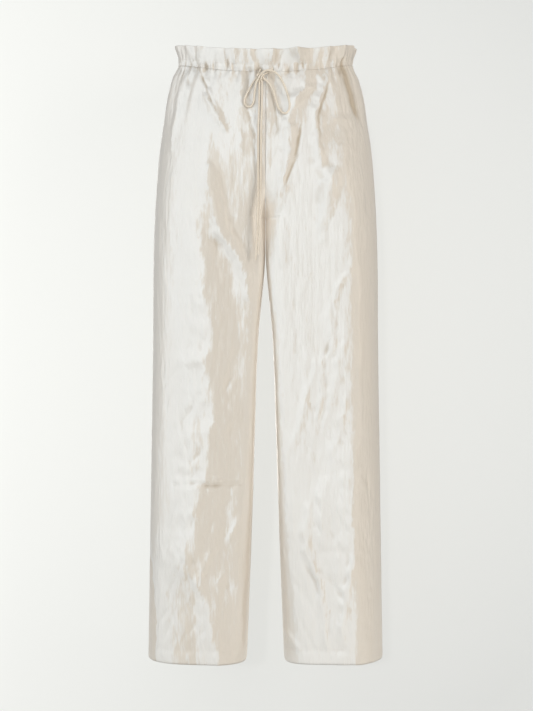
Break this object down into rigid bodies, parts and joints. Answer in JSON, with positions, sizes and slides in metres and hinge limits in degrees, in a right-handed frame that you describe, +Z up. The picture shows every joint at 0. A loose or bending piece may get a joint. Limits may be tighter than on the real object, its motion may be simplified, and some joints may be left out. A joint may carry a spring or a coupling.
{
  "type": "wide-leg pants",
  "caption": "Long wide-leg pull-on pants with a gathered paper-bag waist and a drawcord tied in a bow, held open as worn.",
  "frame": {"origin": "middle of the waist, level with the middle of the cord channel at the side seams", "axes": "+Z up along the body, -Y out of the front, +X to the wearer's left"},
  "size_m": [0.404, 0.2496, 1.052],
  "materials": {
    "pants_cloth": "ivory satin with a fine lengthwise crinkle and a soft pearly sheen",
    "waistband_cloth": "the same ivory satin, gathered",
    "drawcord": "round rouleau cord of the same satin"
  },
  "bodies": {
    "root": {"front_right": "pants_cloth", "front_left": "pants_cloth", "back_right": "pants_cloth", "back_left": "pants_cloth", "waistband_front": "waistband_cloth", "waistband_back": "waistband_cloth", "cord_exit_right": "drawcord", "cord_exit_left": "drawcord", "cord_loop_right": "drawcord", "cord_loop_left": "drawcord", "cord_tail_right": "drawcord", "cord_tail_left": "drawcord", "bow_knot": "drawcord"}
  },
  "joints": []
}
